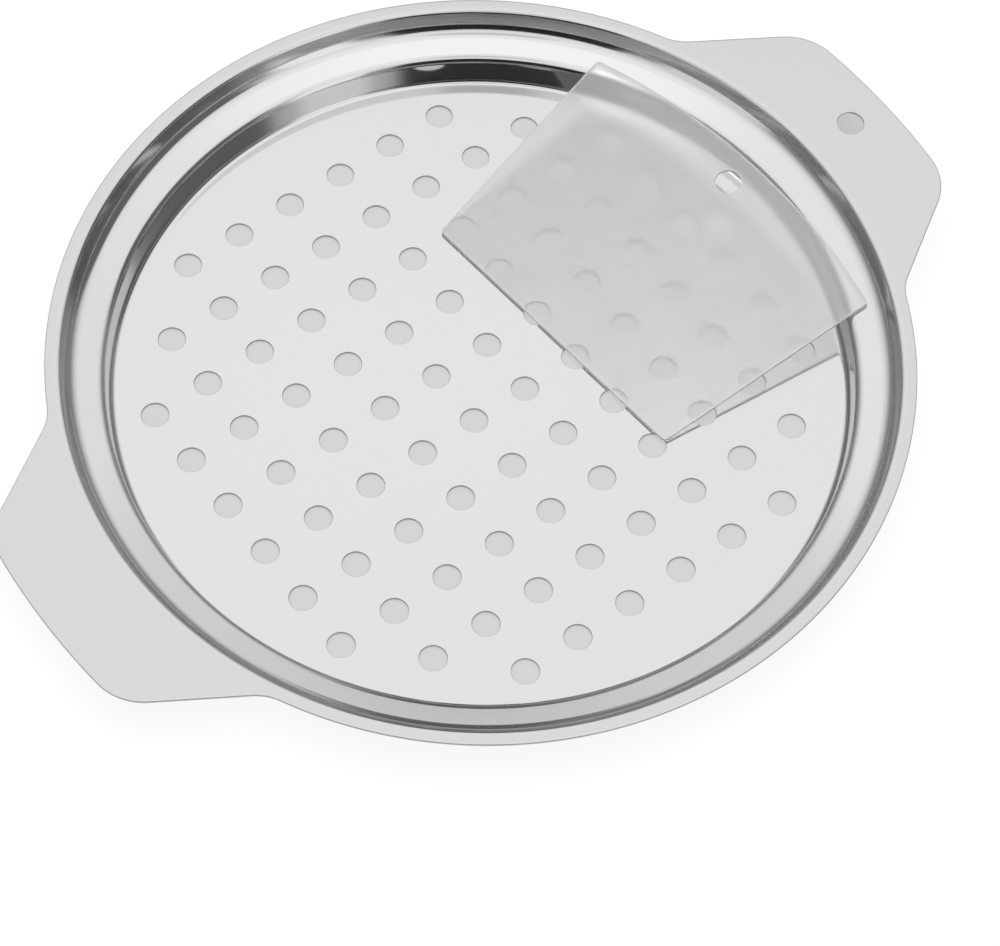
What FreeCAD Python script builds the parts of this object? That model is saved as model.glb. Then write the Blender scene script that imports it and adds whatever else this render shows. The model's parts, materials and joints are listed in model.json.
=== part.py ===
"""Spaetzle maker: a pressed steel sieve plate that sits in the mouth of a pot, and its loose scraper.

The plate is one blank of sheet, drawn in two steps to a shallow dish and punched with dough holes.
The scraper is a flat flexible blade that pushes the batter through the holes; at rest its cutting
edge lies on the sieve floor and its back leans on the ledge.

Frame: millimetres, +Z up, origin under the middle of the sieve floor, +X towards the wing with the
hanging hole. Every driving size is a cell of the sheet "sizes"; what fits to it is an expression.
"""
import FreeCAD, Part
import math
import os
import Sketcher

DRIVING_SIZES = [
    # alias, value, meaning
    ("sheet_gauge", 0.8, "steel sheet thickness"),
    ("lower_wall_radius", 106.6, "inside radius of the wall round the sieve floor, just above its bend"),
    ("lower_wall_draft", 9.5, "lean of the lower wall away from the sieve, degrees"),
    ("lower_foot_radius", 1.6, "inside bend between the floor and the lower wall"),
    ("ledge_rise", 9.6, "top of the ledge's inner edge above the floor"),
    ("ledge_shoulder_radius", 2.8, "outside bend between the lower wall and the ledge"),
    ("rim_wall_offset", 13.5, "upper wall's line, level with the flange, outside the lower wall"),
    ("ledge_fall_angle", 7.2, "fall of the ledge towards the sieve, degrees"),
    ("upper_foot_radius", 4.6, "inside bend between the ledge and the upper wall"),
    ("upper_wall_draft", 20.0, "lean of the upper wall away from the sieve, degrees"),
    ("rim_rise", 17.0, "top of the flange above the floor"),
    ("rim_shoulder_radius", 1.3, "outside bend between the upper wall and the flange"),
    ("flange_width", 4.3, "radial distance from the upper wall's line to the round edge"),
    ("wing_projection", 24.6, "wing tip beyond the round edge"),
    ("wing_width", 92.0, "distance between a wing's straight sides, level with the round edge"),
    ("wing_side_angle", 31.8, "lean of a wing's straight side towards the tip, degrees"),
    ("wing_tip_radius", 220.0, "bow of the wing's tip"),
    ("wing_corner_radius", 17.5, "round between the side and the tip"),
    ("wing_root_radius", 15.0, "hollow round between the side and the round edge"),
    ("hang_hole_diameter", 8.0, "hanging hole in one wing"),
    ("hang_hole_inset", 12.8, "hanging hole's centre from the wing tip"),
    ("dough_hole_diameter", 8.0, "punched hole that the batter drops through"),
    ("dough_hole_margin", 6.8, "plain floor between the outermost holes and the bend"),
    ("long_row_holes", 10, "holes in each of the long middle rows"),
    ("long_rows", 6, "number of long rows"),
    ("middle_row_holes", 8, "holes in the row on each side of the long rows"),
    ("short_row_holes", 6, "holes in the first and the last row"),
    ("scraper_gauge", 1.0, "thickness of the scraper's plastic sheet"),
    ("scraper_blade_width", 96.0, "straight scraping edge"),
    ("scraper_back_width", 114.7, "chord between the two back corners"),
    ("scraper_side_rise", 72.6, "back corners' distance from the scraping edge"),
    ("scraper_back_crown", 8.2, "height of the back edge's arc over its chord"),
    ("scraper_corner_radius", 1.5, "round on each corner of the scraper"),
    ("scraper_hole_diameter", 7.8, "hanging hole in the scraper"),
    ("scraper_hole_inset", 9.3, "scraper hole's centre from the crown of the back edge"),
    ("scraper_turn_angle", 5.7, "scraper's centre line from the +X axis, degrees"),
    ("scraper_side_shift", -2.0, "scraper's centre line beside the dish's centre"),
    ("scraper_wall_gap", 0.7, "crown of the scraper's back inside the lower wall, seen from above"),
    ("lying_clearance", 0.3, "gap where the loose scraper lies on the plate"),
]

# What follows from the driving sizes, as expressions of the sheet.
RIM_WALL_RADIUS = "sizes.lower_wall_radius + sizes.rim_wall_offset"
FLANGE_RADIUS = RIM_WALL_RADIUS + " + sizes.flange_width"
WING_REACH = FLANGE_RADIUS + " + sizes.wing_projection"
RIM_TOP = "sizes.sheet_gauge + sizes.rim_rise"
WING_LAP_RADIUS = "(" + RIM_WALL_RADIUS + " + sizes.rim_shoulder_radius + " + FLANGE_RADIUS + ") / 2"
FLOOR_FLAT_RADIUS = "(sizes.lower_wall_radius - sizes.lower_foot_radius)"
HALF_FIELD_LENGTH = "((sizes.long_row_holes - 1) / 2)"
HALF_FIELD_WIDTH = "((sizes.long_rows - 1) / 2)"
HOLE_PITCH = (
    "((" + FLOOR_FLAT_RADIUS + " - sizes.dough_hole_margin - sizes.dough_hole_diameter / 2)"
    " / sqrt(" + HALF_FIELD_LENGTH + " ^ 2 + " + HALF_FIELD_WIDTH + " ^ 2))"
)
SCRAPER_LENGTH = "(sizes.scraper_side_rise + sizes.scraper_back_crown)"
SCRAPER_BACK_RADIUS = (
    "((sizes.scraper_back_width / 2) ^ 2 + sizes.scraper_back_crown ^ 2) / (2 * sizes.scraper_back_crown)"
)

START, END, MIDDLE = 1, 2, 3
ORIGIN_POINT = (-1, START)
X_AXIS = -1
QUARTER = math.pi / 2

# How finely the scraper's lying tilt is found, and how well a cut's volume must agree.
RING_STEPS = 720
LEDGE_STEPS = 8
STEEPEST_TILT = math.radians(60)
HALVINGS = 24
CUT_AGREEMENT = 0.001


def make_sheet(doc):
    """The sheet of driving sizes, one row each."""
    sheet = doc.addObject("Spreadsheet::Sheet", "sizes")
    for row, (alias, value, meaning) in enumerate(DRIVING_SIZES, start=1):
        sheet.set("A%d" % row, alias)
        sheet.set("B%d" % row, str(value))
        sheet.set("C%d" % row, meaning)
        sheet.setAlias("B%d" % row, alias)
    doc.recompute()
    return sheet


def number(sheet, expression):
    """The present value of an expression of the sheet."""
    return float(sheet.evalExpression(expression))


def origin_plane(body, role):
    """One of the body's own origin planes."""
    return next(item for item in body.Origin.OriginFeatures if item.Role == role)


def new_sketch(body, name, role, height=None):
    """A sketch on one of the body's origin planes, lifted by an expression where one is given."""
    sketch = body.newObject("Sketcher::SketchObject", name)
    sketch.AttachmentSupport = [(origin_plane(body, role), "")]
    sketch.MapMode = "FlatFace"
    if height:
        sketch.setExpression("AttachmentOffset.Base.z", height)
    return sketch


def arc(centre, radius, first, last):
    """A counter-clockwise arc from one angle to another, in radians."""
    circle = Part.Circle(FreeCAD.Vector(centre[0], centre[1], 0), FreeCAD.Vector(0, 0, 1), radius)
    return Part.ArcOfCircle(circle, first, last)


def line(begin, finish):
    return Part.LineSegment(FreeCAD.Vector(begin[0], begin[1], 0), FreeCAD.Vector(finish[0], finish[1], 0))


def bind(sketch, sheet, name, expression, kind, *where):
    """A dimension of the sketch that follows an expression of the sheet."""
    value = number(sheet, expression)
    if kind == "Angle":
        value = math.radians(value)
    index = sketch.addConstraint(Sketcher.Constraint(kind, *where, value))
    sketch.renameConstraint(index, name)
    sketch.setExpression("Constraints." + name, expression)


def tie(sketch, kind, *where):
    sketch.addConstraint(Sketcher.Constraint(kind, *where))


def solve(sketch):
    """Stop if the sketch can't be solved or is left free to move."""
    if sketch.solve() != 0:
        raise RuntimeError("sketch %s doesn't solve" % sketch.Name)
    if not sketch.FullyConstrained:
        raise RuntimeError("sketch %s is not fully constrained" % sketch.Name)


def angle_of(vector):
    return math.atan2(vector.y, vector.x)


def last_point_at(start, direction, centre, distance):
    """The last point along a line that lies at a distance from a centre."""
    offset = start - centre
    middle = offset.dot(direction)
    reach = math.sqrt(middle ** 2 - offset.dot(offset) + distance ** 2)
    return start + direction * (reach - middle)


def section_bends(sheet):
    """The four bends of the drawn plate's upper face, from the sieve floor to the flange.

    Each is a centre, a radius, the side of the centre that the sheet passes, and two angles.
    """
    size = {alias: number(sheet, "sizes." + alias) for alias, _, _ in DRIVING_SIZES}
    gauge = size["sheet_gauge"]
    fall = math.radians(size["ledge_fall_angle"])
    lower_draft = math.radians(size["lower_wall_draft"])
    upper_draft = math.radians(size["upper_wall_draft"])
    lower_foot, shoulder = size["lower_foot_radius"], size["ledge_shoulder_radius"]
    upper_foot, rim_shoulder = size["upper_foot_radius"], size["rim_shoulder_radius"]

    def shoulder_over(wall_foot, draft, height, radius):
        """Centre of the shoulder at that height whose round runs into a leaning wall."""
        rise = height + radius * math.sin(draft) - wall_foot[1]
        return wall_foot[0] + rise * math.tan(draft) + radius * math.cos(draft), height

    lower_wall = size["lower_wall_radius"]
    lower_centre = (lower_wall - lower_foot * math.cos(lower_draft), gauge + lower_foot)
    lower_wall_foot = (lower_wall, lower_centre[1] - lower_foot * math.sin(lower_draft))
    ledge_top = gauge + size["ledge_rise"]
    shoulder_height = ledge_top - shoulder * math.cos(fall)
    shoulder_centre = shoulder_over(lower_wall_foot, lower_draft, shoulder_height, shoulder)

    ledge_start = shoulder_centre[0] - shoulder * math.sin(fall)
    rim_top = number(sheet, RIM_TOP)
    wall_at_ledge = number(sheet, RIM_WALL_RADIUS) - (rim_top - ledge_top) * math.tan(upper_draft)
    lift = (wall_at_ledge - ledge_start) * math.tan(fall) / (1 - math.tan(upper_draft) * math.tan(fall))
    reach = upper_foot * math.tan((QUARTER - upper_draft - fall) / 2)
    upper_wall_foot = (wall_at_ledge + lift * math.tan(upper_draft) + reach * math.sin(upper_draft),
                       ledge_top + lift + reach * math.cos(upper_draft))
    upper_centre = (upper_wall_foot[0] - upper_foot * math.cos(upper_draft),
                    upper_wall_foot[1] + upper_foot * math.sin(upper_draft))
    rim_centre = shoulder_over(upper_wall_foot, upper_draft, rim_top - rim_shoulder, rim_shoulder)
    return [
        (lower_centre, lower_foot, +1, -QUARTER, -lower_draft),
        (shoulder_centre, shoulder, -1, QUARTER + fall, 2 * QUARTER - lower_draft),
        (upper_centre, upper_foot, +1, -QUARTER + fall, -upper_draft),
        (rim_centre, rim_shoulder, -1, QUARTER, 2 * QUARTER - upper_draft),
    ]


def draw_section(body, sheet):
    """Half section of the drawn plate: its upper face, and the same line one gauge below."""
    gauge = number(sheet, "sizes.sheet_gauge")
    rim_top = number(sheet, RIM_TOP)
    edge = number(sheet, FLANGE_RADIUS)
    bends = section_bends(sheet)

    sketch = new_sketch(body, "dish_section", "XZ_Plane")
    faces = []
    for below in (0, 1):
        outline_start = (0.0, gauge * (1 - below))
        outline_end = (edge, rim_top - gauge * below)
        arcs = [arc(centre, radius + side * gauge * below, first, last)
                for centre, radius, side, first, last in bends]
        joints = [outline_start]
        for piece, (_, _, side, _, _) in zip(arcs, bends):
            ends = [piece.StartPoint, piece.EndPoint]
            joints += [(point.x, point.y) for point in (ends if side > 0 else ends[::-1])]
        joints.append(outline_end)
        lines = [sketch.addGeometry(line(joints[k], joints[k + 1])) for k in range(0, len(joints), 2)]
        curves = [sketch.addGeometry(piece) for piece in arcs]
        for k, curve in enumerate(curves):
            into, out_of = (START, END) if bends[k][2] > 0 else (END, START)
            tie(sketch, "Tangent", lines[k], END, curve, into)
            tie(sketch, "Tangent", curve, out_of, lines[k + 1], START)
        faces.append((lines, curves))
    (top_lines, top_curves), (under_lines, under_curves) = faces

    axis_line = sketch.addGeometry(line((0, 0), (0, gauge)))
    edge_line = sketch.addGeometry(line((edge, rim_top - gauge), (edge, rim_top)))
    tie(sketch, "Coincident", axis_line, START, *ORIGIN_POINT)
    tie(sketch, "Coincident", under_lines[0], START, axis_line, START)
    tie(sketch, "Coincident", top_lines[0], START, axis_line, END)
    tie(sketch, "Coincident", under_lines[-1], END, edge_line, START)
    tie(sketch, "Coincident", top_lines[-1], END, edge_line, END)
    tie(sketch, "Vertical", axis_line)
    tie(sketch, "Vertical", edge_line)
    tie(sketch, "Horizontal", top_lines[0])
    tie(sketch, "Horizontal", top_lines[4])
    tie(sketch, "Horizontal", under_lines[4])
    rim_corner_point = FreeCAD.Vector(number(sheet, RIM_WALL_RADIUS), rim_top, 0)
    rim_corner = sketch.addGeometry(Part.Point(rim_corner_point), True)
    tie(sketch, "PointOnObject", rim_corner, START, top_lines[3])
    tie(sketch, "PointOnObject", rim_corner, START, top_lines[4])
    for top_curve, under_curve in zip(top_curves, under_curves):
        tie(sketch, "Coincident", top_curve, MIDDLE, under_curve, MIDDLE)

    bind(sketch, sheet, "gauge", "sizes.sheet_gauge", "DistanceY", axis_line, START, axis_line, END)
    radii = ["lower_foot_radius", "ledge_shoulder_radius", "upper_foot_radius", "rim_shoulder_radius"]
    for alias, top_curve, under_curve, bend in zip(radii, top_curves, under_curves, bends):
        bind(sketch, sheet, alias, "sizes." + alias, "Radius", top_curve)
        sign = " + " if bend[2] > 0 else " - "
        below_radius = "sizes." + alias + sign + "sizes.sheet_gauge"
        bind(sketch, sheet, alias + "_below", below_radius, "Radius", under_curve)
    bind(sketch, sheet, "lower_wall", "sizes.lower_wall_radius", "DistanceX",
         *ORIGIN_POINT, top_lines[1], START)
    bind(sketch, sheet, "rim_wall", RIM_WALL_RADIUS, "DistanceX", *ORIGIN_POINT, rim_corner, START)
    bind(sketch, sheet, "flange", FLANGE_RADIUS, "DistanceX", *ORIGIN_POINT, edge_line, START)
    bind(sketch, sheet, "ledge_rise", "sizes.ledge_rise", "DistanceY", axis_line, END, top_lines[2], START)
    bind(sketch, sheet, "rim_rise", "sizes.rim_rise", "DistanceY", axis_line, END, top_lines[4], START)
    bind(sketch, sheet, "lower_lean", "90 - sizes.lower_wall_draft", "Angle", X_AXIS, top_lines[1])
    bind(sketch, sheet, "ledge_fall", "sizes.ledge_fall_angle", "Angle", X_AXIS, top_lines[2])
    bind(sketch, sheet, "upper_lean", "90 - sizes.upper_wall_draft", "Angle", X_AXIS, top_lines[3])
    solve(sketch)
    return sketch


def draw_half_wing(body, sheet):
    """Half of one wing, from the X axis to where its side runs into the round edge."""
    reach = number(sheet, WING_REACH)
    edge = number(sheet, FLANGE_RADIUS)
    lap = number(sheet, WING_LAP_RADIUS)
    half_width = number(sheet, "sizes.wing_width / 2")
    lean = math.radians(number(sheet, "sizes.wing_side_angle"))
    tip_radius = number(sheet, "sizes.wing_tip_radius")
    corner_radius = number(sheet, "sizes.wing_corner_radius")
    root_radius = number(sheet, "sizes.wing_root_radius")

    gauge_point = FreeCAD.Vector(edge, half_width, 0)
    along = FreeCAD.Vector(math.cos(lean), -math.sin(lean), 0)
    outward = FreeCAD.Vector(math.sin(lean), math.cos(lean), 0)
    tip_centre = FreeCAD.Vector(reach - tip_radius, 0, 0)
    corner_centre = last_point_at(gauge_point - outward * corner_radius, along,
                                  tip_centre, tip_radius - corner_radius)
    root_centre = last_point_at(gauge_point + outward * root_radius, along,
                                FreeCAD.Vector(), edge + root_radius)
    side_start = corner_centre + outward * corner_radius
    side_end = root_centre - outward * root_radius
    tip_turn = angle_of(corner_centre - tip_centre)
    root_turn = angle_of(root_centre)
    side_turn = angle_of(outward)
    lap_end = FreeCAD.Vector(math.cos(root_turn), math.sin(root_turn), 0) * lap
    edge_end = FreeCAD.Vector(math.cos(root_turn), math.sin(root_turn), 0) * edge

    sketch = new_sketch(body, "half_wing", "XY_Plane", RIM_TOP + " - sizes.sheet_gauge")
    base = sketch.addGeometry(line((lap, 0), (reach, 0)))
    tip = sketch.addGeometry(arc(tip_centre, tip_radius, 0.0, tip_turn))
    corner = sketch.addGeometry(arc(corner_centre, corner_radius, tip_turn, side_turn))
    side = sketch.addGeometry(line(side_start, side_end))
    root = sketch.addGeometry(arc(root_centre, root_radius, root_turn - math.pi, side_turn - math.pi))
    close = sketch.addGeometry(line(edge_end, lap_end))
    inner = sketch.addGeometry(arc((0, 0), lap, 0.0, root_turn))
    marker = sketch.addGeometry(Part.Point(gauge_point), True)

    tie(sketch, "PointOnObject", base, START, X_AXIS)
    tie(sketch, "PointOnObject", base, END, X_AXIS)
    tie(sketch, "Coincident", base, END, tip, START)
    tie(sketch, "PointOnObject", tip, MIDDLE, X_AXIS)
    tie(sketch, "Tangent", tip, END, corner, START)
    tie(sketch, "Tangent", corner, END, side, START)
    tie(sketch, "Tangent", side, END, root, END)
    tie(sketch, "Perpendicular", root, START, close, START)
    tie(sketch, "Coincident", close, END, inner, END)
    tie(sketch, "PointOnObject", *ORIGIN_POINT, close)
    tie(sketch, "Coincident", inner, MIDDLE, *ORIGIN_POINT)
    tie(sketch, "Coincident", inner, START, base, START)
    tie(sketch, "PointOnObject", marker, START, side)
    bind(sketch, sheet, "reach", WING_REACH, "DistanceX", *ORIGIN_POINT, base, END)
    bind(sketch, sheet, "lap", WING_LAP_RADIUS, "Radius", inner)
    bind(sketch, sheet, "edge", FLANGE_RADIUS, "Distance", *ORIGIN_POINT, close, START)
    bind(sketch, sheet, "tip_bow", "sizes.wing_tip_radius", "Radius", tip)
    bind(sketch, sheet, "corner_round", "sizes.wing_corner_radius", "Radius", corner)
    bind(sketch, sheet, "root_round", "sizes.wing_root_radius", "Radius", root)
    bind(sketch, sheet, "side_lean", "180 - sizes.wing_side_angle", "Angle", X_AXIS, side)
    bind(sketch, sheet, "marker_x", FLANGE_RADIUS, "DistanceX", *ORIGIN_POINT, marker, START)
    bind(sketch, sheet, "marker_y", "sizes.wing_width / 2", "DistanceY", *ORIGIN_POINT, marker, START)
    solve(sketch)
    return sketch


def expect_cut(body, before, count, diameter, gauge):
    """Stop unless the last feature took that many round slugs out of the sheet."""
    slugs = count * math.pi / 4 * diameter ** 2 * gauge
    if abs(before - body.Shape.Volume - slugs) > CUT_AGREEMENT * slugs:
        raise RuntimeError("%s cut %.3f, not %.3f" % (body.Tip.Name, before - body.Shape.Volume, slugs))


def punch(body, sheet, name, centre, diameter, gauge):
    """A round hole through a sheet of that gauge, its centre given by two expressions."""
    sketch = new_sketch(body, name + "_circle", "XY_Plane")
    place = FreeCAD.Vector(number(sheet, centre[0]), number(sheet, centre[1]), 0)
    circle = sketch.addGeometry(Part.Circle(place, FreeCAD.Vector(0, 0, 1), number(sheet, diameter) / 2))
    bind(sketch, sheet, "across", diameter, "Diameter", circle)
    for axis, kind, expression in (("x", "DistanceX", centre[0]), ("y", "DistanceY", centre[1])):
        if number(sheet, expression) == 0:
            tie(sketch, "PointOnObject", circle, MIDDLE, X_AXIS)
        else:
            bind(sketch, sheet, axis, expression, kind, *ORIGIN_POINT, circle, MIDDLE)
    solve(sketch)
    before = body.Shape.Volume
    pocket = body.newObject("PartDesign::Pocket", name)
    pocket.Profile = sketch
    pocket.Type = "ThroughAll"
    pocket.Midplane = True
    body.Document.recompute()
    expect_cut(body, before, 1, number(sheet, diameter), number(sheet, gauge))
    return pocket


def punch_grid(body, sheet, name, columns, rows, row_spacing):
    """A block of dough holes, centred on the dish, from one punched hole in its corner."""
    first = ("-(%s - 1) / 2 * %s" % (columns, HOLE_PITCH),
             "-(%s - 1) / 2 * (%s)" % (rows, row_spacing))
    before = body.Shape.Volume
    hole = punch(body, sheet, name, first, "sizes.dough_hole_diameter", "sizes.sheet_gauge")
    sketch = hole.Profile[0]
    grid = body.newObject("PartDesign::LinearPattern", name + "_grid")
    grid.Originals = [hole]
    grid.Direction = (sketch, ["H_Axis"])
    grid.Direction2 = (sketch, ["V_Axis"])
    grid.setExpression("Length", "(%s - 1) * %s" % (columns, HOLE_PITCH))
    grid.setExpression("Length2", "(%s - 1) * %s" % (rows, row_spacing))
    grid.setExpression("Occurrences", columns)
    grid.setExpression("Occurrences2", rows)
    body.Tip = grid
    body.Document.recompute()
    expect_cut(body, before, number(sheet, columns) * number(sheet, rows),
               number(sheet, "sizes.dough_hole_diameter"), number(sheet, "sizes.sheet_gauge"))


def make_sieve_plate(doc, sheet):
    """The drawn plate: dish, ledge, flange, two wings, the dough holes and one hanging hole."""
    body = doc.addObject("PartDesign::Body", "sieve_plate")
    body.Label = "sieve_plate"
    dish = body.newObject("PartDesign::Revolution", "drawn_dish")
    dish.Profile = draw_section(body, sheet)
    dish.ReferenceAxis = (dish.Profile[0], ["V_Axis"])
    dish.Angle = 360
    doc.recompute()

    half_wing = body.newObject("PartDesign::Pad", "wing_half")
    half_wing.Profile = draw_half_wing(body, sheet)
    half_wing.setExpression("Length", "sizes.sheet_gauge")
    doc.recompute()
    wings = body.newObject("PartDesign::MultiTransform", "wings")
    mirrors = []
    for name, role in (("wing_across", "XZ_Plane"), ("wing_opposite", "YZ_Plane")):
        mirror = body.newObject("PartDesign::Mirrored", name)
        mirror.MirrorPlane = (origin_plane(body, role), [""])
        mirrors.append(mirror)
    wings.Originals = [half_wing]
    wings.Transformations = mirrors
    body.Tip = wings
    doc.recompute()

    punch(body, sheet, "hang_hole", (WING_REACH + " - sizes.hang_hole_inset", "0"),
          "sizes.hang_hole_diameter", "sizes.sheet_gauge")
    punch_grid(body, sheet, "long_row_hole", "sizes.long_row_holes", "sizes.long_rows", HOLE_PITCH)
    outer_rows = (("middle_row_hole", "sizes.middle_row_holes", "(sizes.long_rows + 1)"),
                  ("short_row_hole", "sizes.short_row_holes", "(sizes.long_rows + 3)"))
    for name, columns, pitches_apart in outer_rows:
        punch_grid(body, sheet, name, columns, "2", pitches_apart + " * " + HOLE_PITCH)
    return body


def draw_scraper(body, sheet):
    """Outline of the scraper: its straight blade on the Y axis, its crowned back towards +X."""
    half_blade = number(sheet, "sizes.scraper_blade_width / 2")
    half_back = number(sheet, "sizes.scraper_back_width / 2")
    rise = number(sheet, "sizes.scraper_side_rise")
    crown = number(sheet, "sizes.scraper_back_crown")
    back_radius = (half_back ** 2 + crown ** 2) / (2 * crown)
    back_centre = (rise + crown - back_radius, 0)
    spread = math.asin(half_back / back_radius)

    sketch = new_sketch(body, "scraper_outline", "XY_Plane")
    blade = sketch.addGeometry(line((0, half_blade), (0, -half_blade)))
    right = sketch.addGeometry(line((0, -half_blade), (rise, -half_back)))
    back = sketch.addGeometry(arc(back_centre, back_radius, -spread, spread))
    left = sketch.addGeometry(line((rise, half_back), (0, half_blade)))
    tie(sketch, "Vertical", blade)
    tie(sketch, "Symmetric", blade, START, blade, END, *ORIGIN_POINT)
    tie(sketch, "Coincident", blade, END, right, START)
    tie(sketch, "Coincident", right, END, back, START)
    tie(sketch, "Coincident", back, END, left, START)
    tie(sketch, "Coincident", left, END, blade, START)
    tie(sketch, "Symmetric", right, END, left, START, X_AXIS)
    bind(sketch, sheet, "blade_width", "sizes.scraper_blade_width", "Distance", blade)
    bind(sketch, sheet, "half_back", "sizes.scraper_back_width / 2", "DistanceY", *ORIGIN_POINT, left, START)
    bind(sketch, sheet, "side_rise", "sizes.scraper_side_rise", "DistanceX", *ORIGIN_POINT, left, START)
    bind(sketch, sheet, "back_bow", SCRAPER_BACK_RADIUS, "Radius", back)
    solve(sketch)
    return sketch


def make_scraper(doc, sheet):
    """The flexible scraper, lying with its blade on the floor and its back on the ledge."""
    body = doc.addObject("PartDesign::Body", "scraper")
    body.Label = "scraper"
    blank = body.newObject("PartDesign::Pad", "scraper_blank")
    blank.Profile = draw_scraper(body, sheet)
    blank.setExpression("Length", "sizes.scraper_gauge")
    doc.recompute()
    upright = [
        "Edge%d" % index for index, edge in enumerate(blank.Shape.Edges, start=1)
        if abs(edge.tangentAt(edge.FirstParameter).z) > 0.9
    ]
    rounds = body.newObject("PartDesign::Fillet", "corner_rounds")
    rounds.Base = (blank, upright)
    rounds.setExpression("Radius", "sizes.scraper_corner_radius")
    body.Tip = rounds
    doc.recompute()
    hole_place = SCRAPER_LENGTH + " - sizes.scraper_hole_inset"
    punch(body, sheet, "scraper_hang_hole", (hole_place, "0"), "sizes.scraper_hole_diameter",
          "sizes.scraper_gauge")
    body.Placement = lying_place(sheet)
    return body


def ledge_rings(sheet):
    """Rings of the ledge that can carry the scraper, each a radius, a height and the round upon it."""
    ledge_ends = [
        (centre[0] + radius * math.cos(first), centre[1] + radius * math.sin(first))
        for centre, radius, _, first, _ in section_bends(sheet)[1:3]
    ]
    shoulder_centre, shoulder = section_bends(sheet)[1][:2]
    rings = [(*shoulder_centre, shoulder)]
    for step in range(1, LEDGE_STEPS + 1):
        share = step / LEDGE_STEPS
        rings.append((*(inner + (outer - inner) * share for inner, outer in zip(*ledge_ends)), 0.0))
    return rings


def ledge_gap(sheet, rings, base, along, left, normal):
    """Least gap between the scraper's underside and the part of the ledge that lies below it."""
    half_blade = number(sheet, "sizes.scraper_blade_width / 2")
    side_rise = number(sheet, "sizes.scraper_side_rise")
    flare = (number(sheet, "sizes.scraper_back_width / 2") - half_blade) / side_rise
    back_radius = number(sheet, SCRAPER_BACK_RADIUS)
    back_centre = number(sheet, SCRAPER_LENGTH) - back_radius

    least = math.inf
    for step in range(RING_STEPS):
        turn = 2 * math.pi * step / RING_STEPS
        spoke = FreeCAD.Vector(math.cos(turn), math.sin(turn), 0)
        for radius, height, round_radius in rings:
            reach = spoke * radius + FreeCAD.Vector(0, 0, height) - base
            forward = reach.dot(along)
            aside = reach.dot(left)
            under_back = math.hypot(forward - back_centre, aside) < back_radius
            under_sides = forward > 0 and abs(aside) < half_blade + flare * forward
            if under_back and under_sides:
                least = min(least, -reach.dot(normal) - round_radius)
    return least


def lying_place(sheet):
    """Placement of the loose scraper: tilted about its blade until its underside meets the ledge."""
    turn = math.radians(number(sheet, "sizes.scraper_turn_angle"))
    ahead = FreeCAD.Vector(math.cos(turn), math.sin(turn), 0)
    left = FreeCAD.Vector(-math.sin(turn), math.cos(turn), 0)
    upwards = FreeCAD.Vector(0, 0, 1)
    clearance = number(sheet, "sizes.lying_clearance")
    blade_height = number(sheet, "sizes.sheet_gauge") + clearance
    back_reach = number(sheet, "sizes.lower_wall_radius - sizes.scraper_wall_gap")
    length = number(sheet, SCRAPER_LENGTH)
    rings = ledge_rings(sheet)

    flattest, steepest = 0.0, STEEPEST_TILT
    for _ in range(HALVINGS):
        tilt = (flattest + steepest) / 2
        along = ahead * math.cos(tilt) + upwards * math.sin(tilt)
        normal = upwards * math.cos(tilt) - ahead * math.sin(tilt)
        base = (ahead * (back_reach - length * math.cos(tilt))
                + left * number(sheet, "sizes.scraper_side_shift") + upwards * blade_height)
        if ledge_gap(sheet, rings, base, along, left, normal) < clearance:
            flattest = tilt
        else:
            steepest = tilt
    print("scraper lies at %.2f degrees, its blade %.2f mm from the centre"
          % (math.degrees(tilt), base.dot(ahead)))
    return FreeCAD.Placement(base, FreeCAD.Rotation(along, left, normal, "ZXY"))


def check(doc, bodies):
    """Stop unless every feature computed and each sub-part is one valid solid."""
    for item in doc.Objects:
        if "Invalid" in item.State or "Error" in item.State:
            raise RuntimeError("%s failed: %s" % (item.Name, item.State))
    for body in bodies:
        if body.Shape.isNull() or not body.Shape.isValid() or len(body.Shape.Solids) != 1:
            raise RuntimeError("%s is not one valid solid" % body.Label)


def main():
    doc = FreeCAD.newDocument("spaetzle_maker")
    sheet = make_sheet(doc)
    bodies = [make_sieve_plate(doc, sheet), make_scraper(doc, sheet)]
    doc.recompute()
    check(doc, bodies)
    os.makedirs("parts", exist_ok=True)
    for body in bodies:
        body.Shape.exportStep("parts/%s.step" % body.Label)
        box = body.Shape.optimalBoundingBox()
        corners = (box.XMin, box.YMin, box.ZMin, box.XMax, box.YMax, box.ZMax)
        print(body.Label, "volume %.0f" % body.Shape.Volume, "box %.2f %.2f %.2f to %.2f %.2f %.2f" % corners)


main()
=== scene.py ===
"""Looks of a spaetzle maker: a pressed steel sieve plate with wings, and its loose plastic scraper.

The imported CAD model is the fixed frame. Each of its two nodes is replaced by a finer mesh of the
same size: the plate with softened bends, broken edges and its punched field of holes, the scraper
with its rounded outline. Everything is in metres in the frame of the CAD, +Z up and +X towards the
holed wing.
"""
from __future__ import annotations

import json
import logging
import math
from dataclasses import dataclass
from enum import Enum

import bmesh
import bpy
from mathutils import Matrix, Vector

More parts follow.
